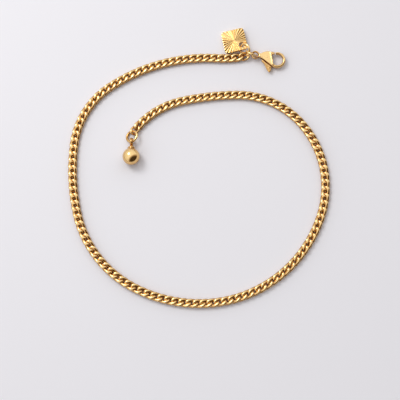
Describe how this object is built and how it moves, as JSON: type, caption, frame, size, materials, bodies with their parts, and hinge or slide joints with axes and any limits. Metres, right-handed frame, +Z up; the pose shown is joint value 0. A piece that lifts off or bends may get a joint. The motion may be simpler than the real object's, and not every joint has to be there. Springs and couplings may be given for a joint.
{
  "type": "chain anklet",
  "caption": "Fine curb chain lying open in a loop, with a fluted square charm and a lever clasp at one end and a ball drop at the other.",
  "frame": {"origin": "on the surface the anklet lies on, below the middle of its whole outline", "axes": "+Z up from that surface; +Y from the loop's far side towards the charm and clasp; +X towards the clasp's nose"},
  "size_m": [0.0678, 0.0736, 0.0045],
  "materials": {
    "chain_gold": "polished gold colour",
    "charm_gold": "polished gold colour, fluted",
    "ring_gold": "polished gold colour",
    "clasp_gold": "polished gold colour, cast",
    "ball_gold": "mirror-polished gold colour"
  },
  "bodies": {
    "anklet": {"chain_clasp_half": "chain_gold", "chain_ball_half": "chain_gold", "charm": "charm_gold", "charm_ring": "ring_gold", "clasp_ring": "ring_gold", "clasp_body": "clasp_gold", "ball_ring": "ring_gold", "ball_drop": "ball_gold"},
    "lever": {"clasp_lever": "clasp_gold"}
  },
  "joints": [
    {"name": "clasp_lever_pivot", "type": "hinge", "parent": "anklet", "child": "lever", "pos_m": [0.01786, 0.02886, 0.00098], "axis": [0, 0, -1], "range_deg": [0, 20], "stiffness_Nm_per_rad": 0.002, "springref_deg": -5.73}
  ]
}
